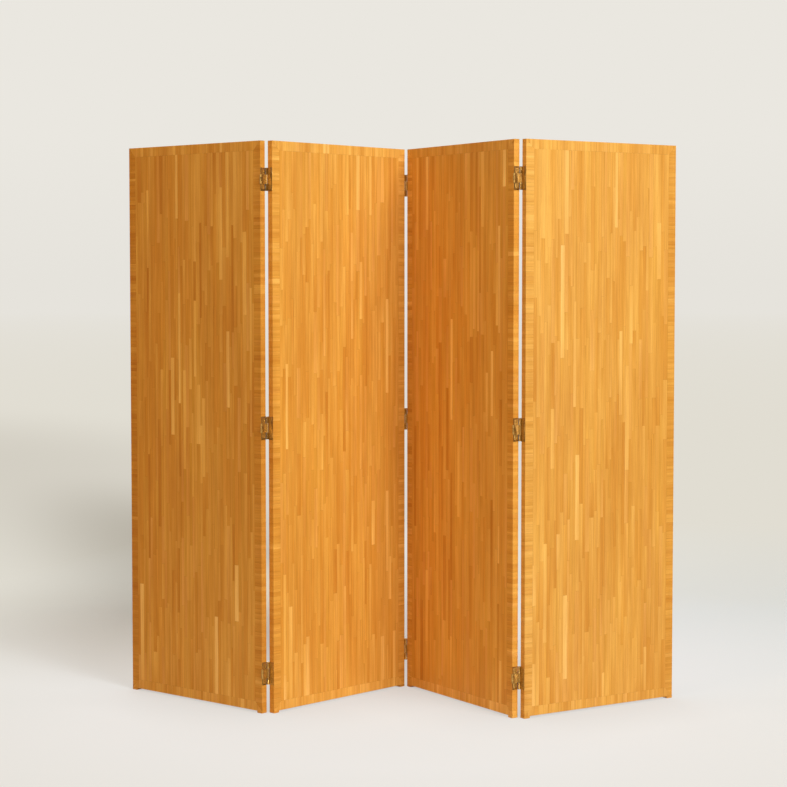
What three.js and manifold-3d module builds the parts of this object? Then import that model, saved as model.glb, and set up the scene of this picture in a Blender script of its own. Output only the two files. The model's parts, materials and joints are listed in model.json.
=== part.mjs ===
// Four-panel folding screen: strip-laminated boards with a mitred cross-grain border, standing in a
// zig-zag on small corner feet, and joined by double-action hinges that fold either way.
// Millimetres, +Z up, floor at z = 0, front towards -Y. Each board's own frame has x along its width
// from the left end face, y from the front face to the back, and z up from the floor.

import * as THREE from 'three';
import { mergeVertices } from 'three/addons/utils/BufferGeometryUtils.js';
import Module from 'manifold-3d';

const wasm = await Module();
wasm.setup();

// Boards
const screenHeight = 1800;
const boardWidth = 600;
const boardThickness = 21;
const bandWidth = 30;          // cross-grain border round the stave field
const arrisRadius = 1.2;       // eased outer edges
const glueLine = 0.3;          // seam between glued pieces

// Feet
const footLength = 22;
const footHeight = 6;
const footRadius = 2;          // rounded lower corners

// How the screen stands: heading of the first board, then the turn at each fold, in degrees
const firstHeading = -40.2;
const foldTurns = [86.5, -103.5, 89.9];

// Hinges
const hingeHeight = 72;
const hingeSetback = 120;      // hinge centre from the board's top or bottom edge
const linkHeight = 29;
const carrierKnuckleHeight = 13;
const boardGap = 7.6;          // between two end faces when a hinge lies flat
const pinStandOff = 2.2;       // pin axis outside the board's face
const leafThickness = 1.6;
const linkThickness = 1.8;
const pinRadius = 1.75;
const pinClearance = 0.15;     // bore over pin, on the radius
const leafSeat = 0.3;          // leaf to end face
const runningGap = 0.3;        // between pieces that turn past each other
const screwSetback = 12;       // screw centre from the leaf's end
const screwHoleRadius = 2;
const screwHeadRadius = 3.7;
const screwHeadDepth = 1.2;

// Facets round a full turn, and round one eased or rounded edge
const knuckleSides = 16;
const boreSides = 12;
const edgeSides = 3;

const boardBottom = footHeight + glueLine;
const boardHeight = screenHeight - boardBottom;
const knuckleRadius = boardGap / 2 - leafSeat;
const pinSpacing = boardThickness + 2 * pinStandOff;

const staveWood = new THREE.MeshStandardMaterial({ color: 0xd99a4a, roughness: 0.45 });
const bandWood = new THREE.MeshStandardMaterial({ color: 0xcf8c3e, roughness: 0.5 });
const footWood = new THREE.MeshStandardMaterial({ color: 0xc07a34, roughness: 0.55 });
const agedBrass = new THREE.MeshStandardMaterial({ color: 0x8c6428, roughness: 0.4, metalness: 1 });

// A three.js geometry as a solid that can be joined and cut
function toSolid(geometry) {
  const bare = geometry.clone();
  bare.deleteAttribute('normal');
  bare.deleteAttribute('uv');
  const merged = mergeVertices(bare, 1e-4);
  return new wasm.Manifold(new wasm.Mesh({
    numProp: 3,
    vertProperties: new Float32Array(merged.attributes.position.array),
    triVerts: new Uint32Array(merged.index.array),
  }));
}

function toGeometry(solid) {
  const mesh = solid.getMesh();
  const geometry = new THREE.BufferGeometry();
  geometry.setAttribute('position', new THREE.BufferAttribute(mesh.vertProperties, mesh.numProp));
  geometry.setIndex(new THREE.BufferAttribute(mesh.triVerts, 1));
  geometry.computeVertexNormals();
  return geometry;
}

function namedMesh(name, geometry, material) {
  const mesh = new THREE.Mesh(geometry, material);
  mesh.name = name;
  return mesh;
}

function extrude(shape, depth, curveSegments) {
  return new THREE.ExtrudeGeometry(shape, { depth, curveSegments, bevelEnabled: false });
}

// Border strip along x with its outer edge down at z = 0. Both ends are mitred at 45 degrees, so a
// point that lies deeper into the board also lies further in from the end.
function borderStrip(length) {
  const section = new THREE.Shape();
  section.moveTo(-bandWidth, 0);
  section.lineTo(-arrisRadius, 0);
  section.absarc(-arrisRadius, arrisRadius, arrisRadius, -Math.PI / 2, 0, false);
  section.lineTo(0, boardThickness - arrisRadius);
  section.absarc(-arrisRadius, boardThickness - arrisRadius, arrisRadius, 0, Math.PI / 2, false);
  section.lineTo(-bandWidth, boardThickness);
  section.closePath();
  const strip = extrude(section, length, edgeSides).rotateY(Math.PI / 2);
  const mitreSeam = glueLine * Math.SQRT1_2;
  const points = strip.attributes.position;
  for (let i = 0; i < points.count; i += 1) {
    const fromEnd = points.getZ(i) + mitreSeam;
    points.setX(i, points.getX(i) > length / 2 ? length - fromEnd : fromEnd);
  }
  return toGeometry(toSolid(strip));
}

function footBlock() {
  const side = new THREE.Shape();
  side.moveTo(0, footHeight);
  side.lineTo(0, footRadius);
  side.absarc(footRadius, footRadius, footRadius, Math.PI, Math.PI * 1.5, false);
  side.lineTo(footLength - footRadius, 0);
  side.absarc(footLength - footRadius, footRadius, footRadius, Math.PI * 1.5, Math.PI * 2, false);
  side.lineTo(footLength, footHeight);
  side.closePath();
  return extrude(side, boardThickness, edgeSides).rotateX(Math.PI / 2).translate(0, boardThickness, 0);
}

function board(number) {
  const name = `panel_${number}`;
  const group = new THREE.Group();

  const inset = bandWidth + glueLine;
  const field = new THREE.BoxGeometry(boardWidth - 2 * inset, boardThickness, boardHeight - 2 * inset);
  const staves = namedMesh(`${name}_stave_board`, field, staveWood);
  staves.position.set(boardWidth / 2, boardThickness / 2, boardBottom + boardHeight / 2);
  group.add(staves);

  const boardTop = boardBottom + boardHeight;
  const border = [
    { side: 'bottom', length: boardWidth, at: [0, 0, boardBottom], turn: 0 },
    { side: 'right', length: boardHeight, at: [boardWidth, 0, boardBottom], turn: -Math.PI / 2 },
    { side: 'top', length: boardWidth, at: [boardWidth, 0, boardTop], turn: -Math.PI },
    { side: 'left', length: boardHeight, at: [0, 0, boardTop], turn: -Math.PI * 1.5 },
  ];
  for (const { side, length, at, turn } of border) {
    const strip = namedMesh(`${name}_band_${side}`, borderStrip(length), bandWood);
    strip.position.set(...at);
    strip.rotation.y = turn;
    group.add(strip);
  }

  for (const [side, x] of [['left', 0], ['right', boardWidth - footLength]]) {
    const foot = namedMesh(`${name}_foot_${side}`, footBlock(), footWood);
    foot.position.x = x;
    group.add(foot);
  }
  return group;
}

// Hinge pieces are made about a pin on the z axis, at mid height, for a board whose end face stands
// at x = -boardGap / 2 and whose near face is at y = pinStandOff. Turned by half a turn, the same
// piece serves the board on the other side, hinged at the other face.

// How far along y a leaf must keep from a pin for another piece's barrel to turn past it
const barrelReach = Math.sqrt((knuckleRadius + runningGap) ** 2 - (knuckleRadius - leafThickness) ** 2);
const leafFlush = { near: pinStandOff, far: pinStandOff + boardThickness };
const leafClear = { near: barrelReach, far: pinSpacing - barrelReach };

function roundHole(radius) {
  const corners = [];
  for (let i = 0; i < boreSides; i += 1) {
    const angle = -2 * Math.PI * i / boreSides;
    corners.push(new THREE.Vector2(radius * Math.cos(angle), radius * Math.sin(angle)));
  }
  return new THREE.Path(corners);
}

// One stretch of a leaf between two heights. Its near edge is rolled round the pin or cut back.
function leafStretch(low, high, near, far) {
  const outside = -knuckleRadius;
  const inside = outside + leafThickness;
  const shape = new THREE.Shape();
  shape.moveTo(outside, far);
  if (near === 'rolled') {
    const rollEnd = Math.PI - Math.acos(-inside / knuckleRadius);
    shape.lineTo(outside, 0);
    shape.absarc(0, 0, knuckleRadius, Math.PI, rollEnd + Math.PI * 2, false);
    shape.holes.push(roundHole(pinRadius + pinClearance));
  } else {
    shape.lineTo(outside, near);
    shape.lineTo(inside, near);
  }
  shape.lineTo(inside, far);
  shape.closePath();
  return toSolid(extrude(shape, high - low, knuckleSides).translate(0, 0, low));
}

// Countersunk screw hole through a leaf, wide at the face that shows
function screwHole(z) {
  const spare = 1;
  const shows = -knuckleRadius + leafThickness;
  const profile = [
    [0, -knuckleRadius - spare],
    [screwHoleRadius, -knuckleRadius - spare],
    [screwHoleRadius, shows - screwHeadDepth],
    [screwHeadRadius, shows],
    [screwHeadRadius, shows + spare],
    [0, shows + spare],
  ].map(([radius, along]) => new THREE.Vector2(radius, along));
  const hole = new THREE.LatheGeometry(profile, boreSides).rotateZ(-Math.PI / 2);
  return toSolid(hole.translate(0, pinStandOff + boardThickness / 2, z));
}

// A leaf's stretches are given from its middle outwards, and are the same above and below
function leaf(outwards) {
  let solid = null;
  for (const { from, to, near, far } of outwards) {
    const pair = from === 0
      ? leafStretch(-to, to, near, far)
      : leafStretch(from, to, near, far).add(leafStretch(-to, -from, near, far));
    solid = solid ? solid.add(pair) : pair;
  }
  const screwHeight = hingeHeight / 2 - screwSetback;
  return toGeometry(solid.subtract(screwHole(screwHeight)).subtract(screwHole(-screwHeight)));
}

const leafHalf = hingeHeight / 2;
const linkHalf = linkHeight / 2;
const linkClear = linkHalf + runningGap;
const carrierKnuckleHalf = carrierKnuckleHeight / 2;

// The leaf that carries the link: one short knuckle in the middle of its near edge
function carrierLeaf() {
  const far = leafClear.far;
  return leaf([
    { from: 0, to: carrierKnuckleHalf, near: 'rolled', far },
    { from: carrierKnuckleHalf, to: linkClear, near: leafClear.near, far },
    { from: linkClear, to: leafHalf, near: leafFlush.near, far },
  ]);
}

// The leaf that swings: a long knuckle above and below the link
function swingLeaf() {
  return leaf([
    { from: 0, to: linkClear, near: leafClear.near, far: leafClear.far },
    { from: linkClear, to: leafHalf, near: 'rolled', far: leafFlush.far },
  ]);
}

function roundBar(radius, sides, low, high, y) {
  const bar = new THREE.CylinderGeometry(radius, radius, high - low, sides);
  return toSolid(bar.rotateX(Math.PI / 2).translate(0, y, (low + high) / 2));
}

function block(width, nearY, farY, low, high) {
  const box = new THREE.BoxGeometry(width, farY - nearY, high - low);
  return toSolid(box.translate(0, (nearY + farY) / 2, (low + high) / 2));
}

// The link reaches from the carrier leaf's pin, at y = 0, to the swing leaf's, at y = pinSpacing.
// Both pins are staked into its knuckles and turn in the leaves.
function link() {
  const knuckleClear = carrierKnuckleHalf + runningGap;
  const windowFar = knuckleRadius + runningGap;
  return toGeometry(
    block(linkThickness, 0, pinSpacing, -linkHalf, linkHalf)
      .subtract(block(2 * boardGap, -boardGap, windowFar, -knuckleClear, knuckleClear))
      .add(roundBar(knuckleRadius, knuckleSides, knuckleClear, linkHalf, 0))
      .add(roundBar(knuckleRadius, knuckleSides, -linkHalf, -knuckleClear, 0))
      .add(roundBar(knuckleRadius, knuckleSides, -linkHalf, linkHalf, pinSpacing))
      .add(roundBar(pinRadius, boreSides, -linkHalf, linkHalf, 0))
      .add(roundBar(pinRadius, boreSides, -leafHalf, leafHalf, pinSpacing)),
  );
}

const hingeHeights = {
  top: screenHeight - hingeSetback,
  middle: boardBottom + boardHeight / 2,
  bottom: boardBottom + hingeSetback,
};

const hingePieces = { carrier_leaf: carrierLeaf, link, swing_leaf: swingLeaf };

// One piece of a fold's hinges, at each of the three heights, about a pin at x and y
function addHinges(group, fold, piece, x, y, turn) {
  for (const [level, z] of Object.entries(hingeHeights)) {
    const mesh = namedMesh(`hinge_${fold}_${level}_${piece}`, hingePieces[piece](), agedBrass);
    mesh.position.set(x, y, z);
    mesh.rotation.z = turn;
    group.add(mesh);
  }
}

// Hangs the right board on the left one by its front pins, the links and its back pins. At a ridge
// the back pins are open, and the links lie shut on the left board's end. A valley has the same
// hinges turned half round: the front pins are open, and the links lie shut on the right board.
function joinBoards(left, right, number, turn) {
  const ridge = turn > 0;
  const opening = THREE.MathUtils.degToRad(turn);
  const halfGap = boardGap / 2;
  const backPin = boardThickness + pinStandOff;

  const links = new THREE.Group();
  links.position.set(boardWidth + halfGap, -pinStandOff, 0);
  links.rotation.z = ridge ? 0 : opening;
  left.add(links);
  const swing = new THREE.Group();
  swing.position.y = pinSpacing;
  swing.rotation.z = ridge ? opening : 0;
  links.add(swing);
  right.position.set(halfGap, -backPin, 0);
  swing.add(right);

  const fold = `${number}${number + 1}`;
  const halfTurn = Math.PI;
  const [onLeft, onRight] = ridge ? ['carrier_leaf', 'swing_leaf'] : ['swing_leaf', 'carrier_leaf'];
  addHinges(left, fold, onLeft, boardWidth + halfGap, -pinStandOff, 0);
  addHinges(links, fold, 'link', 0, ridge ? 0 : pinSpacing, ridge ? 0 : halfTurn);
  addHinges(right, fold, onRight, -halfGap, backPin, halfTurn);
}

const boards = Array.from({ length: foldTurns.length + 1 }, (_, i) => board(i + 1));
foldTurns.forEach((turn, i) => joinBoards(boards[i], boards[i + 1], i + 1, turn));

// The origin is on the floor, under the middle of the whole standing screen
const screen = new THREE.Group();
screen.rotation.z = THREE.MathUtils.degToRad(firstHeading);
screen.add(boards[0]);
const group = new THREE.Group();
group.add(screen);
group.updateMatrixWorld(true);
const middle = new THREE.Box3().setFromObject(group, true).getCenter(new THREE.Vector3());
screen.position.set(-middle.x, -middle.y, 0);

export default group;
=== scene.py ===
import bisect
import json
import math
import random

import bmesh
import bpy
from mathutils import Matrix, Vector


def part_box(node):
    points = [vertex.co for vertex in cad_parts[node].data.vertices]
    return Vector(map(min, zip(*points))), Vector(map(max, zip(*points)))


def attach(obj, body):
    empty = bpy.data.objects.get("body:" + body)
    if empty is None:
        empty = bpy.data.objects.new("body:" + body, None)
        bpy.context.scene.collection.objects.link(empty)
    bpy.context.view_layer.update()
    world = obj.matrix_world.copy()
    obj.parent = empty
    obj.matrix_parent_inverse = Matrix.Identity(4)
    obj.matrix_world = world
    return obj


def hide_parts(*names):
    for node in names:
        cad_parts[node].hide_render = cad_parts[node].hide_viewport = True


# Folding wooden screen: four boards of glued staves with cross-grain borders, standing in a zig-zag
# and joined by brass hinges that fold both ways. Metres, Z up, front towards -Y.
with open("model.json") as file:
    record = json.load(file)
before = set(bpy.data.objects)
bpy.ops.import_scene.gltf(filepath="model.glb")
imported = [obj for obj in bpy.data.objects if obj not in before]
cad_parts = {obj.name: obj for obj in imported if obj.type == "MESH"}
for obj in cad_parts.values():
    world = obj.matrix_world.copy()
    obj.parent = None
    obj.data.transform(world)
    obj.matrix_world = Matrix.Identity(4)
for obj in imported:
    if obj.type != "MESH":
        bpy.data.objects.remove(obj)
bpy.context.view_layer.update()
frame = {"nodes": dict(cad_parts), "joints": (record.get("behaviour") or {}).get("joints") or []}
print("frame loaded with", len(frame["nodes"]), "parts")


def toLinear(colour):
    # a colour as picture editors give it, 0 to 255, in the linear values that shaders take
    return [c / 3294.6 if c <= 10.3 else ((c / 255 + 0.055) / 1.055) ** 2.4 for c in colour]


def opaque(colour):
    return (*toLinear(colour), 1.0)


def addNode(tree, kind, inputs=None, **settings):
    node = tree.nodes.new(kind)
    for name, value in settings.items():
        setattr(node, name, value)
    for name, value in (inputs or {}).items():
        if isinstance(value, bpy.types.NodeSocket):
            tree.links.new(value, node.inputs[name])
        else:
            node.inputs[name].default_value = value
    return node


def startMaterial(name):
    material = bpy.data.materials.new(name)
    material.use_nodes = True
    tree = material.node_tree
    return material, tree, tree.nodes["Principled BSDF"]


def streaks(tree, point, across, along, detail=4.0, distortion=0.0):
    # noise drawn out along the grain, which runs along the point's third axis
    stretched = addNode(tree, "ShaderNodeVectorMath", {0: point, 1: (1 / across, 1 / across, 1 / along)},
                        operation="MULTIPLY")
    return addNode(tree, "ShaderNodeTexNoise", {
        "Vector": stretched.outputs[0], "Scale": 1.0, "Detail": detail,
        "Roughness": 0.6, "Distortion": distortion}).outputs[0]


def remap(tree, value, fromLow, fromHigh, toLow, toHigh):
    return addNode(tree, "ShaderNodeMapRange", {
        "Value": value, "From Min": fromLow, "From Max": fromHigh,
        "To Min": toLow, "To Max": toHigh}).outputs[0]


def blendColours(tree, factor, first, second, mode="MIX"):
    node = addNode(tree, "ShaderNodeMix", data_type="RGBA", blend_type=mode)
    for socket, value in zip((node.inputs[0], node.inputs[6], node.inputs[7]), (factor, first, second)):
        if isinstance(value, bpy.types.NodeSocket):
            tree.links.new(value, socket)
        else:
            socket.default_value = value
    return node.outputs[2]


def twoValues(tree, operation, first, second):
    return addNode(tree, "ShaderNodeMath", {0: first, 1: second}, operation=operation).outputs[0]


def addBump(tree, shader, height, look):
    bump = addNode(tree, "ShaderNodeBump", {
        "Height": height, "Strength": look["bump"], "Distance": look["bumpHeight"]})
    tree.links.new(bump.outputs[0], shader.inputs["Normal"])


lacqueredWood = {
    "grainPitch": 0.0011,        # from one fine grain line to the next
    "grainRun": 0.09,            # how far a line runs
    "grainDepth": 0.24,          # how strongly it is drawn
    "grainTint": (188, 132, 72),  # multiplies the wood where the grain is dark
    "figurePitch": 0.0045,       # soft bands inside one stave
    "figureRun": 0.20,
    "figureDepth": 0.26,
    "fleckPitch": 0.00055,       # short dark pores
    "fleckRun": 0.005,
    "fleckDepth": 0.30,
    "cloudPitch": 0.07,          # slow change over a whole board
    "cloudRun": 0.55,
    "cloudDepth": 0.26,
    "seamWidth": 0.00035,        # glue line between two staves
    "seamDepth": (0.15, 0.75),   # it comes and goes along its length
    "seamPitch": 0.012,
    "seamRun": 0.06,
    "seamColour": (124, 68, 22),
    "roughness": (0.36, 0.48),
    "specular": 0.08,
    "bump": 0.12,
    "bumpHeight": 0.0002,
}


def makeWood(name, look, grainMore=1.0):
    material, tree, shader = startMaterial(name)
    point = addNode(tree, "ShaderNodeAttribute", attribute_name="grainPoint").outputs["Vector"]
    tone = addNode(tree, "ShaderNodeAttribute", attribute_name="woodTone").outputs["Color"]
    seams = addNode(tree, "ShaderNodeAttribute", attribute_name="seams")
    place = addNode(tree, "ShaderNodeTexCoord").outputs["Object"]

    fine = streaks(tree, point, look["grainPitch"], look["grainRun"], 4.0, 0.3)
    broad = streaks(tree, point, look["figurePitch"], look["figureRun"], 2.0, 0.6)
    flecks = streaks(tree, point, look["fleckPitch"], look["fleckRun"], 2.0)
    cloud = streaks(tree, place, look["cloudPitch"], look["cloudRun"], 2.0)
    tint = opaque(look["grainTint"])
    colour = tone
    for noise, low, high, depth in (  # low and high: the part of the noise that is drawn
            (fine, 0.36, 0.70, look["grainDepth"] * grainMore),
            (broad, 0.30, 0.72, look["figureDepth"]),
            (flecks, 0.60, 0.72, look["fleckDepth"]),
            (cloud, 0.30, 0.70, look["cloudDepth"])):
        amount = remap(tree, noise, low, high, 0.0, depth)
        colour = blendColours(tree, amount, colour, tint, "MULTIPLY")

    # the attribute holds the distance to each of a stave's four edges
    parts = addNode(tree, "ShaderNodeSeparateColor", {0: seams.outputs["Color"]})
    sides = twoValues(tree, "MINIMUM", parts.outputs[0], parts.outputs[1])
    ends = twoValues(tree, "MINIMUM", parts.outputs[2], seams.outputs["Alpha"])
    nearest = twoValues(tree, "MINIMUM", sides, ends)
    wearNoise = streaks(tree, place, look["seamPitch"], look["seamRun"], 1.0)
    wear = remap(tree, wearNoise, 0.38, 0.62, *look["seamDepth"])
    seam = twoValues(tree, "MULTIPLY", remap(tree, nearest, 0.0, look["seamWidth"], 1.0, 0.0), wear)
    colour = blendColours(tree, seam, colour, opaque(look["seamColour"]))

    tree.links.new(colour, shader.inputs["Base Color"])
    tree.links.new(remap(tree, fine, 0.3, 0.7, *look["roughness"]), shader.inputs["Roughness"])
    shader.inputs["Specular IOR Level"].default_value = look["specular"]
    addBump(tree, shader, fine, look)
    return material


staveWood = makeWood("stave_wood", lacqueredWood)
bandWood = makeWood("band_wood", lacqueredWood, grainMore=0.9)

staveTones = {
    "shares": [                  # glued up as they came, mostly honey
        (40, (232, 175, 80)),    # honey
        (26, (227, 165, 70)),    # amber
        (12, (233, 174, 85)),    # rosy
        (10, (227, 170, 74)),    # straw
        (6, (217, 152, 61)),     # brown heartwood
        (4, (246, 194, 99)),     # pale
        (1.5, (254, 206, 115)),  # very pale sapwood
    ],
    "spread": 0.040,             # how far each stave may lie from its tone
    "lean": 0.060,               # from one side of a stave to the other
    "drift": 0.055,              # from one end to the other
    "boards": {                  # tone at the left end and right end, contrast of the staves, warmth; the end tones are partly the boards' own tone and partly painted light, the change across a board standing in for light falling off, and the warmth is a painted warm cast of the light
        1: (-0.05, 0.02, 1.05, 0.03),
        2: (0.03, 0.04, 0.78, 0.04),
        3: (0.07, 0.09, 1.05, 0.05),
        4: (0.07, 0.00, 0.68, 0.00),
    },
    "heights": {                 # painted light: tone added at a board's foot, waist and top, standing in for how the light falls along its height
        1: (0.05, -0.03, 0.01),
        2: (0.00, -0.045, 0.04),
        3: (0.04, 0.00, 0.03),
        4: (0.03, -0.03, 0.03),
    },
    "waist": 0.42,               # share of the height
}


def shiftTone(colour, amount):
    # lighter wood turns yellower and paler, darker wood redder
    return [part * math.exp(amount * pull) for part, pull in zip(colour, (1.0, 1.8, 3.7))]


def pickTone(rand):
    shares = staveTones["shares"]
    tone = rand.choices([t for share, t in shares], [share for share, t in shares])[0]
    return shiftTone(toLinear(tone), rand.uniform(-1, 1) * staveTones["spread"])


def suitBoard(piece, number, across, up, share=1.0, darker=0.0):
    # across goes from 0 at the board's left end to 1, and up from 0 at its foot to 1
    # painted light: the end tones and the warmth partly stand in for how the lamps light each board
    left, right, contrast, warmth = staveTones["boards"][number]
    honey = toLinear(staveTones["shares"][0][1])
    mixed = [h * (t / h) ** (contrast * share) * math.exp(warmth * pull)
             for h, t, pull in zip(honey, piece["tone"], (0.5, -0.3, -3.0))]
    # painted light along the height: lighter or darker at foot, waist and top
    foot, waist, top = staveTones["heights"][number]
    middle = staveTones["waist"]
    if up < middle:
        paintedRise = foot + (waist - foot) * up / middle
    else:
        paintedRise = waist + (top - waist) * (up - middle) / (1 - middle)
    piece["tone"] = shiftTone(mixed, left + (right - left) * across + paintedRise - darker)


def pickCuts(rand, low, high, shortest, longest):
    # places from low to high, no two closer than the shortest piece
    cuts = [low]
    while high - cuts[-1] > longest:
        step = rand.uniform(shortest, longest)
        cuts.append(cuts[-1] + min(step, high - cuts[-1] - shortest))
    return cuts + [high]


def pieceList(rand, cuts):
    return [{"from": a, "to": b, "tone": pickTone(rand),
             "lean": rand.uniform(-1, 1) * staveTones["lean"],
             "drift": rand.uniform(-1, 1) * staveTones["drift"],
             "shift": Vector([rand.uniform(0, 9) for _ in range(3)])} for a, b in zip(cuts, cuts[1:])]


def pieceAt(pieces, cuts, value):
    return pieces[min(max(bisect.bisect(cuts, value) - 1, 0), len(pieces) - 1)]


def writeWood(mesh, pieceFor, grainPoint, seamsFor):
    # colour, grain place and distance to the seams, for each corner of each face
    tones, points, seams = [], [], []
    for face in mesh.polygons:
        piece = pieceFor(face.center)
        for corner in face.loop_indices:
            place = mesh.vertices[mesh.loops[corner].vertex_index].co
            edges = seamsFor(place, piece)
            left, right, low, high = edges
            across = (left - right) / max(left + right, 1e-6)
            along = (low - high) / max(low + high, 1e-6)
            tones += [*shiftTone(piece["tone"], across * piece["lean"] + along * piece["drift"]), 1.0]
            points += [*(grainPoint(place) + piece["shift"])]
            seams += edges
    mesh.attributes.new("woodTone", "FLOAT_COLOR", "CORNER").data.foreach_set("color", tones)
    mesh.attributes.new("seams", "FLOAT_COLOR", "CORNER").data.foreach_set("color", seams)
    mesh.attributes.new("grainPoint", "FLOAT_VECTOR", "CORNER").data.foreach_set("vector", points)


def finishPiece(name, mesh, matrix, body, material, slot, *nodes):
    mesh.transform(matrix)
    piece = bpy.data.objects.new(name, mesh)
    bpy.context.scene.collection.objects.link(piece)
    mesh.materials.clear()
    mesh.materials.append(material)
    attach(piece, body)
    if nodes:
        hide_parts(*nodes)
    return piece


def meshFrom(bm, name):
    bmesh.ops.recalc_face_normals(bm, faces=bm.faces)
    mesh = bpy.data.meshes.new(name)
    bm.to_mesh(mesh)
    bm.free()
    return mesh


def cutThrough(bm, faces, place, direction):
    edges = {e for f in faces for e in f.edges}
    corners = {v for f in faces for v in f.verts}
    bmesh.ops.bisect_plane(bm, geom=[*faces, *edges, *corners], dist=1e-7,
                           plane_co=place, plane_no=direction)


def roundEdges(mesh):
    # smooth over the rounded edges alone, or the flat faces beside them catch their shading
    for face in mesh.polygons:
        face.use_smooth = max(abs(part) for part in face.normal) < 0.9999


def boardFrame(number):
    # x along the board from its left end, y from its front face to its back, z up from the floor
    staves = frame["nodes"][f"panel_{number}_stave_board"]
    corners = sorted({(round(v.co.x, 6), round(v.co.y, 6)) for v in staves.data.vertices})
    sides = sorted((Vector(c) - Vector(corners[0]) for c in corners[1:]), key=lambda side: side.length)
    along = sides[-2].normalized()  # the thickness is shorter, the diagonal longer
    back = Vector((-along.y, along.x))
    own = [o for name, o in frame["nodes"].items() if name.startswith(f"panel_{number}_")]
    spots = [v.co.xy for o in own for v in o.data.vertices]
    origin = along * min(s @ along for s in spots) + back * min(s @ back for s in spots)
    return Matrix(((along.x, back.x, 0, origin.x),
                   (along.y, back.y, 0, origin.y),
                   (0, 0, 1, 0),
                   (0, 0, 0, 1)))


def extent(node, matrix):
    spots = [matrix.inverted() @ v.co for v in frame["nodes"][node].data.vertices]
    return (Vector([min(s[i] for s in spots) for i in range(3)]),
            Vector([max(s[i] for s in spots) for i in range(3)]))


def boxBetween(low, high):
    bm = bmesh.new()
    place = Matrix.Translation((low + high) / 2) @ Matrix.Diagonal((*(high - low), 1))
    bmesh.ops.create_cube(bm, size=1.0, matrix=place)
    return bm


staveBoards = {
    "narrowest": 0.009,
    "widest": 0.017,
    "shortest": 0.11,
    "longest": 0.36,
    "jointsApart": 0.012,  # between the end joints of two neighbouring columns
    "endClear": 0.02,      # no joint closer than this to the border
    "closeSeam": 0.00025,  # glued pieces grow by this, to meet
    "seed": 7,
}


def makeStaves(number, matrix):
    rand = random.Random(staveBoards["seed"] + number)
    node = f"panel_{number}_stave_board"
    low, high = extent(node, matrix)
    more = Vector((staveBoards["closeSeam"], 0, staveBoards["closeSeam"]))
    low = low - more
    high = high + more
    bm = boxBetween(low, high)

    across = pickCuts(rand, low.x, high.x, staveBoards["narrowest"], staveBoards["widest"])
    for x in across[1:-1]:
        cutThrough(bm, list(bm.faces), (x, 0, 0), (1, 0, 0))
    columns = []
    for left, right in zip(across, across[1:]):
        ends = columns[-1]["cuts"] if columns else []
        first = low.z - rand.uniform(0, staveBoards["shortest"])
        cuts = pickCuts(rand, first, high.z, staveBoards["shortest"], staveBoards["longest"])
        clear = staveBoards["endClear"]
        cuts = [low.z, *[z for z in cuts if low.z + clear < z < high.z - clear], high.z]
        apart = staveBoards["jointsApart"]
        for i, z in enumerate(cuts[1:-1], 1):
            if any(abs(z - other) < apart for other in ends):
                cuts[i] = z + 2 * apart
        faces = [f for f in bm.faces if left < f.calc_center_median().x < right]
        for z in cuts[1:-1]:
            cutThrough(bm, faces, (0, 0, z), (0, 0, 1))
            faces = [f for f in bm.faces if left < f.calc_center_median().x < right]
        staves = pieceList(rand, cuts)
        for stave in staves:
            up = (stave["from"] + stave["to"]) / 2 / high.z
            suitBoard(stave, number, (left - low.x) / (high.x - low.x), up)
        columns.append({"from": left, "to": right, "cuts": cuts, "staves": staves})

    def staveAt(place):
        column = pieceAt(columns, across, place.x)
        stave = pieceAt(column["staves"], column["cuts"], place.z)
        return {**stave, "left": column["from"], "right": column["to"]}

    def seams(place, stave):
        return (place.x - stave["left"], stave["right"] - place.x,
                place.z - stave["from"], stave["to"] - place.z)

    mesh = meshFrom(bm, f"panel_{number}_staves")
    writeWood(mesh, staveAt, lambda place: place.copy(), seams)
    finishPiece(mesh.name, mesh, matrix, f"panel_{number}", staveWood, "stave_wood", node)


borders = {
    "width": 0.030,
    "narrowest": 0.009,    # the short pieces, side by side along the edge
    "widest": 0.017,
    "arris": 0.00125,      # eased outer edges
    "arrisSteps": 5,
    "mitreSeam": 0.00004,
    "evenOut": 0.60,       # how much of the staves' change of tone the short pieces show
    # how much darker each strip is drawn, negative for lighter: partly the strips' own tone and partly
    # painted light, as board 2's top strip is painted lighter where light falls from above
    "darker": {
        (1, "left"): 0.13,
        (1, "right"): 0.10,
        (1, "bottom"): -0.03,
        (2, "left"): 0.02,
        (2, "top"): -0.03,
        (2, "bottom"): -0.05,
        (3, "right"): 0.08,
        (3, "bottom"): -0.06,
        (4, "right"): 0.05,
    },
    "seed": 90,
}


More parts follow.
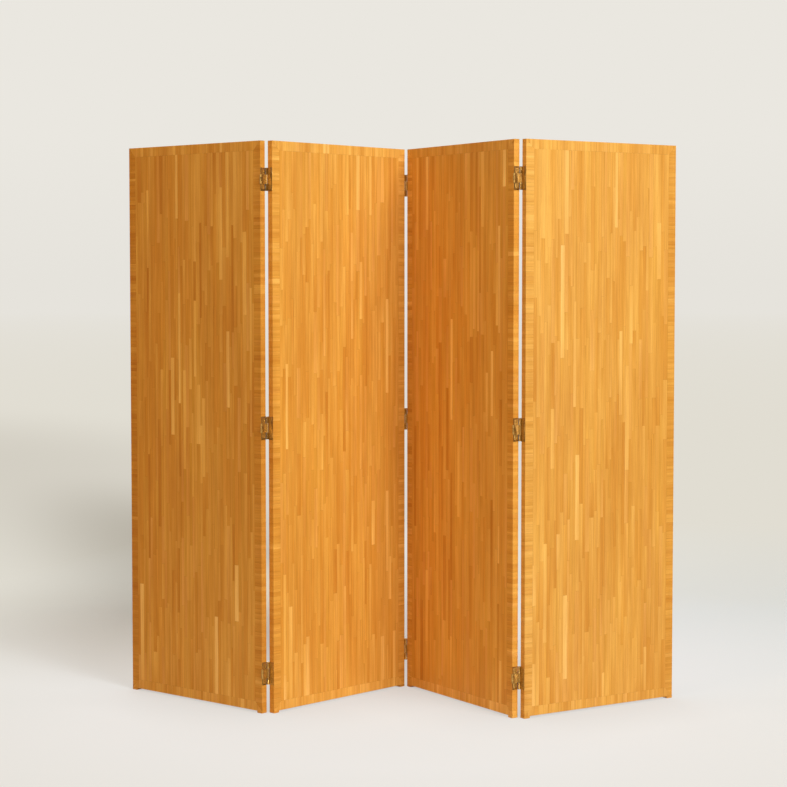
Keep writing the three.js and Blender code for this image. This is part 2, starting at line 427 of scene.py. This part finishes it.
def makeBand(number, side, matrix, low, high):
    rand = random.Random(borders["seed"] + 10 * number + len(side))
    upright = side in ("left", "right")
    length = high.z - low.z if upright else high.x - low.x
    thickness = high.y - low.y
    arris = borders["arris"]

    # section: how deep into the board, and how far back from the front face
    section = [(borders["width"], 0.0)]
    for i in range(borders["arrisSteps"] + 1):
        turn = math.pi / 2 * i / borders["arrisSteps"]
        section.append((arris - arris * math.sin(turn), arris - arris * math.cos(turn)))
    section += [(deep, thickness - back) for deep, back in reversed(section)]

    bm = bmesh.new()
    rings = []
    for end in (0, 1):
        ring = []
        for deep, back in section:
            inset = deep + borders["mitreSeam"]
            ring.append(bm.verts.new((length - inset if end else inset, back, deep)))
        rings.append(ring)
        bm.faces.new(ring)
    for i in range(len(section)):
        j = (i + 1) % len(section)
        bm.faces.new((rings[0][i], rings[0][j], rings[1][j], rings[1][i]))
    cuts = pickCuts(rand, 0.0, length, borders["narrowest"], borders["widest"])
    for x in cuts[1:-1]:
        cutThrough(bm, list(bm.faces), (x, 0, 0), (1, 0, 0))
    pieces = pieceList(rand, cuts)
    # the strip's own tone and its painted shade, taken off its tone
    darker = borders["darker"].get((number, side), 0.0)
    for piece in pieces:
        run = piece["from"] / length
        across = {"left": 0.0, "right": 1.0, "bottom": run, "top": 1.0 - run}[side]
        up = {"left": 1.0 - run, "right": run, "bottom": 0.0, "top": 1.0}[side]
        suitBoard(piece, number, across, up, borders["evenOut"], darker)

    def seams(place, piece):
        mitre = min(place.x, length - place.x) - place.z
        return (place.x - piece["from"], piece["to"] - place.x, borders["width"] - place.z, mitre)

    mesh = meshFrom(bm, f"panel_{number}_border_{side}")
    writeWood(mesh, lambda place: pieceAt(pieces, cuts, place.x), lambda place: place.copy(), seams)
    roundEdges(mesh)

    # from the strip's own axes to the board's: along, back, deep
    start, along = {"bottom": ((low.x, low.z), (1, 0)), "top": ((high.x, high.z), (-1, 0)),
                    "right": ((high.x, low.z), (0, 1)), "left": ((low.x, high.z), (0, -1))}[side]
    deep = (-along[1], along[0])
    place = Matrix(((along[0], 0, deep[0], start[0]), (0, 1, 0, low.y),
                    (along[1], 0, deep[1], start[1]), (0, 0, 0, 1)))
    finishPiece(mesh.name, mesh, matrix @ place, f"panel_{number}", bandWood, "band_wood",
                f"panel_{number}_band_{side}")


cornerFeet = {
    "lowerRadius": 0.002,
    "steps": 6,
    "sideEase": 0.0006,
    "easeSteps": 3,
    "seed": 300,
}


def makeFoot(number, side, matrix):
    rand = random.Random(cornerFeet["seed"] + 10 * number + len(side))
    node = f"panel_{number}_foot_{side}"
    low, high = extent(node, matrix)
    high.z += staveBoards["closeSeam"]  # up to the board
    bm = boxBetween(low, high)
    lower = [e for e in bm.edges if all(v.co.z < (low.z + high.z) / 2 for v in e.verts)]
    ends = [e for e in lower if abs(e.verts[0].co.x - e.verts[1].co.x) < 1e-6]
    bmesh.ops.bevel(bm, geom=ends, offset=cornerFeet["lowerRadius"], segments=cornerFeet["steps"],
                    profile=0.5, affect="EDGES")
    rims = [e for e in bm.edges if abs(e.verts[0].co.y - e.verts[1].co.y) < 1e-6
            and not all(v.co.z > high.z - 1e-6 for v in e.verts)]
    bmesh.ops.bevel(bm, geom=rims, offset=cornerFeet["sideEase"], segments=cornerFeet["easeSteps"],
                    profile=0.5, affect="EDGES")
    piece = pieceList(rand, [low.x, high.x])[0]
    suitBoard(piece, number, 0.0 if side == "left" else 1.0, 0.0)
    mesh = meshFrom(bm, f"panel_{number}_corner_foot_{side}")
    writeWood(mesh, lambda place: piece, lambda place: Vector((place.y, place.z, place.x)),
              lambda place, piece: (1, 1, 1, 1))
    roundEdges(mesh)
    finishPiece(mesh.name, mesh, matrix, f"panel_{number}", bandWood, "foot_wood", node)


boardFrames = {}
for number in (1, 2, 3, 4):
    matrix = boardFrames[number] = boardFrame(number)
    makeStaves(number, matrix)
    sides = ("bottom", "right", "top", "left")
    corners = [extent(f"panel_{number}_band_{side}", matrix) for side in sides]
    low = Vector([min(c[0][i] for c in corners) for i in range(3)])
    high = Vector([max(c[1][i] for c in corners) for i in range(3)])
    for side in sides:
        makeBand(number, side, matrix, low, high)
    for side in ("left", "right"):
        makeFoot(number, side, matrix)
    print("board", number, "made")


agedBrass = {
    "bright": (216, 174, 98),
    "brown": (148, 108, 52),
    "patinaSize": 0.0026,
    "patinaRange": (0.36, 0.64),  # narrower gives harder blotches
    "gritFiner": 6,               # times finer than the patina
    "roughness": (0.27, 0.52),
    "bump": 0.25,
    "bumpHeight": 0.0001,
}


def makeBrass(name, look):
    material, tree, shader = startMaterial(name)
    point = addNode(tree, "ShaderNodeTexCoord").outputs["Object"]
    cloud = addNode(tree, "ShaderNodeTexNoise", {
        "Vector": point, "Scale": 1 / look["patinaSize"], "Detail": 6.0, "Roughness": 0.65}).outputs[0]
    grit = addNode(tree, "ShaderNodeTexNoise", {
        "Vector": point, "Scale": look["gritFiner"] / look["patinaSize"], "Detail": 3.0}).outputs[0]
    patina = remap(tree, cloud, *look["patinaRange"], 0.0, 1.0)
    colour = blendColours(tree, patina, opaque(look["bright"]), opaque(look["brown"]))
    tree.links.new(colour, shader.inputs["Base Color"])
    tree.links.new(remap(tree, cloud, 0.35, 0.65, *look["roughness"]), shader.inputs["Roughness"])
    shader.inputs["Metallic"].default_value = 1.0
    addBump(tree, shader, grit, look)
    return material


brass = makeBrass("hinge_brass", agedBrass)

# Millimetres, about a pin on the z axis at mid height, for a board whose end face stands at
# x = -3.8 and whose near face is at y = 2.2. The lengths follow the solids.
hinge = {
    "half": 36.0,               # half the leaf's height
    "linkHalf": 14.5,
    "carrierHalf": 6.5,         # the short middle knuckle
    "play": 0.3,                # between pieces that turn past each other
    "barrel": 3.49,             # knuckle radius
    "bore": 1.9,
    "pin": 1.75,
    "pinProud": 0.4,            # the carrier's pin shows its ends
    "leaf": 1.6,                # plate thickness
    "link": 1.8,
    "near": 2.2,                # board's faces
    "far": 23.2,
    "pinSpacing": 25.4,
    "rollTurn": 116,            # the rolled knuckle ends this many degrees past a full turn
    "slit": (0.12, 2.35, 3.3),  # between the roll's end and the plate: its width, and y at its two ends
    "rollRoot": 6.0,            # y where the roll runs into the flat plate
    "plateStart": 4.5,          # y of the flat plate's edge behind its own knuckles
    "sides": 40,                # facets round a barrel
    "softEdge": 0.22,
    "seed": 5,
}
screw = {
    "height": 24.0,             # above and below the leaf's middle
    "head": 3.5,
    "headPlay": 0.2,
    "hole": 2.0,
    "countersink": 1.2,
    "shank": 1.65,
    "length": 9.0,
    "slotWidth": 0.9,
    "slotDepth": 0.6,
    "softEdge": 0.08,
}
beyond = 1.0                    # a cutter reaches past what it cuts


def solidFrom(bm, name):
    thing = bpy.data.objects.new(name, meshFrom(bm, name))
    bpy.context.scene.collection.objects.link(thing)
    return thing


def prism(points, axis, low, high):
    # a flat outline pushed along one axis: 0 for points (y, z), 2 for points (x, y)
    bm = bmesh.new()
    rings = []
    for level in (low, high):
        spots = [(level, a, b) if axis == 0 else (a, b, level) for a, b in points]
        rings.append([bm.verts.new(spot) for spot in spots])
        bm.faces.new(rings[-1])
    for i in range(len(points)):
        j = (i + 1) % len(points)
        bm.faces.new((rings[0][i], rings[0][j], rings[1][j], rings[1][i]))
    return solidFrom(bm, "work")


def rod(radius, low, high, y=0.0, z=0.0, endRadius=None, axis="Z"):
    bm = bmesh.new()
    if axis == "X":
        turn = Matrix.Rotation(math.radians(90), 4, "Y")
        middle = Vector(((low + high) / 2, y, z))
    else:
        turn = Matrix.Identity(4)
        middle = Vector((0.0, y, (low + high) / 2))
    bmesh.ops.create_cone(bm, cap_ends=True, segments=hinge["sides"], radius1=radius,
                          radius2=endRadius or radius, depth=high - low,
                          matrix=Matrix.Translation(middle) @ turn)
    return solidFrom(bm, "work")


def combine(first, second, operation):
    change = first.modifiers.new("change", "BOOLEAN")
    change.operation = operation
    change.solver = "EXACT"
    change.object = second
    keepShape(first)
    bpy.data.objects.remove(second)
    return first


def keepShape(thing):
    view = bpy.context.evaluated_depsgraph_get()
    made = bpy.data.meshes.new_from_object(thing.evaluated_get(view))
    thing.modifiers.clear()
    thing.data = made


def soften(thing, width, steps=2):
    bevel = thing.modifiers.new("bevel", "BEVEL")
    bevel.width = width
    bevel.segments = steps
    bevel.limit_method = "ANGLE"
    bevel.angle_limit = math.radians(40)
    keepShape(thing)
    thing.data.polygons.foreach_set("use_smooth", [True] * len(thing.data.polygons))
    thing.data.set_sharp_from_angle(angle=math.radians(35))
    normals = thing.modifiers.new("normals", "WEIGHTED_NORMAL")
    normals.keep_sharp = True
    keepShape(thing)
    return thing


def rolledKnuckle(low, high, plateEnd):
    # the plate's edge rolled round the pin, with the slit where the roll meets the plate again
    outer, bore = hinge["barrel"], hinge["bore"]
    inside = -outer + hinge["leaf"]
    points = [(-outer, plateEnd), (-outer, 0.0)]
    steps = hinge["sides"]
    rollEnd = math.pi * 2 + math.radians(hinge["rollTurn"])
    slitWidth, slitStart, slitEnd = hinge["slit"]
    for i in range(1, steps + 1):
        turn = math.pi + (rollEnd - math.pi) * i / steps
        points.append((outer * math.cos(turn), outer * math.sin(turn)))
    points += [(inside + slitWidth, slitStart), (inside, slitEnd), (inside, plateEnd)]
    return combine(prism(points, 2, low, high), rod(bore, low - beyond, high + beyond), "DIFFERENCE")


def stepEdge(steps):
    # an edge's upper half as points (y, z): each step has the height that it reaches, and its y
    points, level = [], 0.0
    for top, y in steps:
        points += [(y, level), (y, top)]
        level = top
    return points[1:]


def makeLeaf(kind):
    outer, play, half = hinge["barrel"], hinge["play"], hinge["half"]
    inside = -outer + hinge["leaf"]
    reach = math.sqrt((outer + play) ** 2 - inside ** 2)
    clearHalf = hinge["linkHalf"] + play
    farClear = hinge["pinSpacing"] - reach
    plateStart = hinge["plateStart"]
    if kind == "carrier":
        knuckles = [(-hinge["carrierHalf"], hinge["carrierHalf"])]
        steps = [(hinge["carrierHalf"], plateStart), (clearHalf, reach), (half, hinge["near"])]
        farSteps = [(half, farClear)]
    else:
        knuckles = [(-half, -clearHalf), (clearHalf, half)]
        steps = [(clearHalf, reach), (half, plateStart)]
        farSteps = [(clearHalf, farClear), (half, hinge["far"])]

    # outline in y and z, from the near edge's middle up, across, and down the far edge
    upper = stepEdge(steps) + stepEdge(farSteps)[::-1]
    outline = upper + [(y, -z) for y, z in reversed(upper)]
    leaf = prism(outline, 0, -outer, inside)
    for low, high in knuckles:
        leaf = combine(leaf, rolledKnuckle(low, high, hinge["rollRoot"]), "UNION")
    middle = (hinge["near"] + hinge["far"]) / 2
    hole, cone = screw["hole"], screw["countersink"]
    slope = (screw["head"] + screw["headPlay"] - hole) / cone
    wide = hole + slope * (cone + beyond / 2)
    for z in (-screw["height"], screw["height"]):
        bore = rod(hole, -outer - beyond, inside + beyond, middle, z, axis="X")
        seat = rod(hole, inside - cone, inside + beyond / 2, middle, z, wide, "X")
        leaf = combine(combine(leaf, bore, "DIFFERENCE"), seat, "DIFFERENCE")
    return soften(leaf, hinge["softEdge"])


def makeLink():
    half, gap = hinge["linkHalf"], hinge["carrierHalf"] + hinge["play"]
    window = hinge["barrel"] + hinge["play"]
    far = hinge["pinSpacing"]
    outline = [(window, gap), (0, gap), (0, half), (far, half)]
    outline = outline + [(y, -z) for y, z in reversed(outline)]
    link = prism(outline, 0, -hinge["link"] / 2, hinge["link"] / 2)
    for low, high, y in ((gap, half, 0.0), (-half, -gap, 0.0), (-half, half, far)):
        link = combine(link, rod(hinge["barrel"], low, high, y), "UNION")
    pinHalf = half + hinge["pinProud"]
    link = combine(link, rod(hinge["pin"], -pinHalf, pinHalf), "UNION")
    link = combine(link, rod(hinge["pin"], -hinge["half"], hinge["half"], far), "UNION")
    return soften(link, hinge["softEdge"])


def makeScrew():
    # countersunk slotted head, flush with the leaf, and the start of its shank
    top = -hinge["barrel"] + hinge["leaf"]
    neck = top - screw["countersink"]
    head = rod(screw["shank"], neck, top, endRadius=screw["head"], axis="X")
    shank = rod(screw["shank"], top - screw["length"], neck + screw["headPlay"], axis="X")
    head = combine(head, shank, "UNION")
    wide, long = screw["slotWidth"] / 2, screw["head"] + beyond
    slot = prism([(-long, -wide), (long, -wide), (long, wide), (-long, wide)],
                 0, top - screw["slotDepth"], top + beyond)
    return soften(combine(head, slot, "DIFFERENCE"), screw["softEdge"])


hingeShapes = {"carrier_leaf": makeLeaf("carrier"), "link": makeLink(), "swing_leaf": makeLeaf("swing")}
screwShape = makeScrew()
print("hinge shapes made")

pins = {j["name"]: Vector(j["pos_m"]) for j in frame["joints"]}
small = Matrix.Scale(0.001, 4)
screwRand = random.Random(hinge["seed"])
for fold, carrierBoard, swingBoard in (("12", 1, 2), ("23", 3, 2), ("34", 3, 4)):
    front, back = pins[f"front_pins_{fold}"], pins[f"back_pins_{fold}"]
    carrierPin, swingPin = (front, back) if carrierBoard < swingBoard else (back, front)
    towards = swingPin - carrierPin
    linkTurn = math.atan2(-towards.x, towards.y)  # its y axis points at the swing leaf's pin
    turns = {"link": linkTurn}
    for piece, number, other in (("carrier_leaf", carrierBoard, swingBoard),
                                 ("swing_leaf", swingBoard, carrierBoard)):
        along = boardFrames[number].col[0]
        turns[piece] = math.atan2(along.y, along.x) + (0 if number < other else math.pi)
    for level in ("top", "middle", "bottom"):
        low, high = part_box(f"hinge_{fold}_{level}_link")
        for piece, shape in hingeShapes.items():
            pin = swingPin if piece == "swing_leaf" else carrierPin
            place = Matrix.Translation((pin.x, pin.y, (low.z + high.z) / 2))
            matrix = place @ Matrix.Rotation(turns[piece], 4, "Z") @ small
            body = {"link": f"links_{fold}", "carrier_leaf": f"panel_{carrierBoard}",
                    "swing_leaf": f"panel_{swingBoard}"}[piece]
            name = f"hinge_{fold}_{level}_{piece}"
            finishPiece(f"{name}_brass", shape.data.copy(), matrix, body, brass, "hinge_brass", name)
            if piece == "link":
                continue
            for end, z in (("upper", screw["height"]), ("lower", -screw["height"])):
                seat = Matrix.Translation((0, (hinge["near"] + hinge["far"]) / 2, z))
                twist = Matrix.Rotation(screwRand.uniform(0, math.pi), 4, "X")
                finishPiece(f"{name}_screw_{end}", screwShape.data.copy(), matrix @ seat @ twist,
                            body, brass, "hinge_brass")
for thing in [*hingeShapes.values(), screwShape]:
    bpy.data.objects.remove(thing)
print("hinges placed")


studio = {
    "backdrop": (234, 231, 224),
    "horizon": (230, 227, 220),
    "horizonHeight": 0.07,      # share of the way up where the backdrop's colour is reached
    # painted shade: the floor is drawn darker from nearFloor beside the screen to farFloor further out,
    # standing in for the light falling off away from the screen
    "nearFloor": (236, 233, 228),
    "farFloor": (225, 221, 210),
    "nearToFar": (0.9, 2.6),    # metres from the screen's middle
    "farToHorizon": (12.0, 82.0),
    "floorRadius": 90.0,
    "frontLift": (0.26, 0.78),  # share of the lamps' light, and light of its own, in front of the screen
    "backLift": (1.28, 0.06),   # the same behind it, where the shadow lies
    "frontToBack": (0.0, 1.8),
    "tint": (1.0, 1.10, 1.26),  # takes the fill's warmth off the floor
    "melt": (2.2, 5.0),         # metres from meltMiddle where the floor melts into the backdrop
    "meltMiddle": (0.45, 0, 0),
    "meltLeft": (-1.1, -2.4),   # sooner on the shadow's side
    "paintedShadowAndLightSpots": [            # painted shadow: the long soft end of the shadow, drawn into the floor's colour: middle, size, degrees, colour
        ((-0.92, 3.2), (1.15, 5.5), 16, (0.66, 0.64, 0.61)),
        ((-3.2, 8.5), (3.4, 9.0), 20, (0.87, 0.86, 0.85)),
        ((-0.50, 2.2), (0.50, 2.0), 16, (1.55, 1.45, 1.30)),  # painted light: a pool of light let through the left-hand fold
    ],
    "contactShade": 0.13,       # painted shade where the floor meets the boards
    "contactReach": 0.35,
    "contactOpen": (0.4, 1.0),  # from full shade to none, by how open the floor is there
    "ambient": 0.23,
    "ambientColour": (1.0, 0.87, 0.68),
}


def liftedPaper(tree, colour, amounts):
    share, lift = amounts
    strength = [share * part for part in studio["tint"]]
    stronger = addNode(tree, "ShaderNodeVectorMath", {0: colour, 1: strength}, operation="MULTIPLY")
    paper = addNode(tree, "ShaderNodeBsdfDiffuse", {"Color": stronger.outputs[0]})
    glow = addNode(tree, "ShaderNodeEmission", {"Color": colour, "Strength": lift})
    return addNode(tree, "ShaderNodeAddShader", {0: paper.outputs[0], 1: glow.outputs[0]}).outputs[0]


def makeFloor():
    material, tree = startMaterial("floor_paper")[:2]
    tree.nodes.clear()
    place = addNode(tree, "ShaderNodeNewGeometry").outputs["Position"]
    distance = addNode(tree, "ShaderNodeVectorMath", {0: place}, operation="LENGTH").outputs["Value"]
    axes = addNode(tree, "ShaderNodeSeparateXYZ", {0: place})
    # painted shade: the floor's colour darkens away from the screen, then turns to the horizon's
    near = remap(tree, distance, *studio["nearToFar"], 0.0, 1.0)
    far = remap(tree, distance, *studio["farToHorizon"], 0.0, 1.0)
    colour = blendColours(tree, near, opaque(studio["nearFloor"]), opaque(studio["farFloor"]))
    colour = blendColours(tree, far, colour, opaque(studio["horizon"]))

    # painted shade: the floor's colour darkened where the boards close it in
    openness = addNode(tree, "ShaderNodeAmbientOcclusion", {"Distance": studio["contactReach"]}, samples=8)
    contact = remap(tree, openness.outputs["AO"], *studio["contactOpen"], studio["contactShade"], 0.0)
    colour = blendColours(tree, contact, colour, opaque((0, 0, 0)))

    colourWithPaintedShadow = colour
    # painted shadow and a painted pool of light, multiplied into the floor's colour
    for middle, size, turn, shade in studio["paintedShadowAndLightSpots"]:
        spot = addNode(tree, "ShaderNodeMapping", {
            "Vector": place, "Location": (*middle, 0), "Rotation": (0, 0, math.radians(turn)),
            "Scale": (*size, 1)}, vector_type="TEXTURE")
        reach = addNode(tree, "ShaderNodeVectorMath", {0: spot.outputs[0]}, operation="LENGTH")
        amount = addNode(tree, "ShaderNodeMapRange", {
            "Value": reach.outputs["Value"], "From Min": 0.0, "From Max": 1.0, "To Min": 1.0, "To Max": 0.0},
            interpolation_type="SMOOTHERSTEP").outputs[0]
        colourWithPaintedShadow = blendColours(tree, amount, colourWithPaintedShadow, (*shade, 1), "MULTIPLY")

    # the floor keeps the screen's shadow, with the painted shadow tails and light pool added behind it, and
    # melts into the backdrop further out
    paper = addNode(tree, "ShaderNodeBsdfDiffuse", {"Color": colour})
    plain = addNode(tree, "ShaderNodeEmission", {"Color": colourWithPaintedShadow, "Strength": 1.0})
    front = liftedPaper(tree, colour, studio["frontLift"])
    back = liftedPaper(tree, colourWithPaintedShadow, studio["backLift"])
    behind = remap(tree, axes.outputs[1], *studio["frontToBack"], 0.0, 1.0)
    shadowed = addNode(tree, "ShaderNodeMixShader", {0: behind, 1: front, 2: back}).outputs[0]
    apart = addNode(tree, "ShaderNodeVectorMath", {0: place, 1: studio["meltMiddle"]}, operation="DISTANCE")
    melt = addNode(tree, "ShaderNodeMath", {
        0: remap(tree, apart.outputs["Value"], *studio["melt"], 0.0, 1.0),
        1: remap(tree, axes.outputs[0], *studio["meltLeft"], 0.0, 1.0)}, operation="ADD", use_clamp=True)
    melted = addNode(tree, "ShaderNodeMixShader", {0: melt.outputs[0], 1: shadowed, 2: plain.outputs[0]})
    lit = addNode(tree, "ShaderNodeMixShader", {
        0: seenRays(tree), 1: paper.outputs[0], 2: melted.outputs[0]})
    addNode(tree, "ShaderNodeOutputMaterial", {"Surface": lit.outputs[0]})
    bm = bmesh.new()
    bmesh.ops.create_circle(bm, cap_ends=True, segments=96, radius=studio["floorRadius"])
    floor = bpy.data.objects.new("floor", meshFrom(bm, "floor"))
    bpy.context.scene.collection.objects.link(floor)
    floor.data.materials.append(material)


def seenRays(tree):
    path = addNode(tree, "ShaderNodeLightPath")
    seen = twoValues(tree, "MAXIMUM", path.outputs["Is Camera Ray"], path.outputs["Is Glossy Ray"])
    return twoValues(tree, "MAXIMUM", seen, path.outputs["Is Transmission Ray"])


def makeBackdrop():
    world = bpy.data.worlds.new("backdrop")
    bpy.context.scene.world = world
    world.use_nodes = True
    tree = world.node_tree
    tree.nodes.clear()
    ambient = addNode(tree, "ShaderNodeBackground", {
        "Color": (*studio["ambientColour"], 1), "Strength": studio["ambient"]})
    direction = addNode(tree, "ShaderNodeTexCoord").outputs["Generated"]
    upward = addNode(tree, "ShaderNodeSeparateXYZ", {0: direction}).outputs[2]
    height = remap(tree, upward, 0.0, studio["horizonHeight"], 0.0, 1.0)
    colour = blendColours(tree, height, opaque(studio["horizon"]), opaque(studio["backdrop"]))
    shown = addNode(tree, "ShaderNodeBackground", {"Color": colour, "Strength": 1.0})
    mixed = addNode(tree, "ShaderNodeMixShader", {
        0: seenRays(tree), 1: ambient.outputs[0], 2: shown.outputs[0]})
    addNode(tree, "ShaderNodeOutputWorld", {"Surface": mixed.outputs[0]})


white = (1, 1, 1)
warm = (1.0, 0.62, 0.29)
lamps = [  # a sun's size is its angle in degrees, an area lamp's is its side in metres
    {"name": "sky", "kind": "SUN", "place": (4.0, -6.2, 3.9), "size": 26, "power": 1.01, "colour": white},
    {"name": "key", "kind": "AREA", "place": (3.8, -4.3, 4.9), "size": 3.2, "power": 276, "colour": white},
    {"name": "fill", "kind": "AREA", "place": (-5.4, -4.85, 4.3), "size": 3.5, "power": 130, "colour": warm},
    {"name": "back", "kind": "AREA", "place": (-1.5, 6.8, 1.9), "size": 4.0, "power": 170, "colour": white},
]
lampAim = (0, 0, 0.9)


def makeLamps():
    for lamp in lamps:
        light = bpy.data.lights.new(lamp["name"], lamp["kind"])
        if lamp["kind"] == "SUN":
            light.angle = math.radians(lamp["size"])
        else:
            light.size = lamp["size"]
        light.energy = lamp["power"]
        light.color = lamp["colour"]
        thing = bpy.data.objects.new(lamp["name"], light)
        thing.location = lamp["place"]
        thing.visible_camera = False
        aim = Vector(lampAim) - Vector(lamp["place"])
        thing.rotation_euler = aim.to_track_quat("-Z", "Y").to_euler()
        bpy.context.scene.collection.objects.link(thing)


photoView = {
    "place": (-0.0201, -6.5018, 1.3632),
    "tiltDown": 3.182,   # degrees
    "lens": 92.46,       # on a sensor 36 mm wide
}


def makeCamera():
    data = bpy.data.cameras.new("photo_view")
    data.lens = photoView["lens"]
    data.sensor_width = 36.0
    camera = bpy.data.objects.new("photo_view", data)
    camera.location = photoView["place"]
    camera.rotation_euler = (math.radians(90 - photoView["tiltDown"]), 0, 0)
    bpy.context.scene.collection.objects.link(camera)
    bpy.context.scene.camera = camera


makeFloor()
makeBackdrop()
makeLamps()
makeCamera()
bpy.context.scene.view_settings.view_transform = "Standard"
print("stage set")
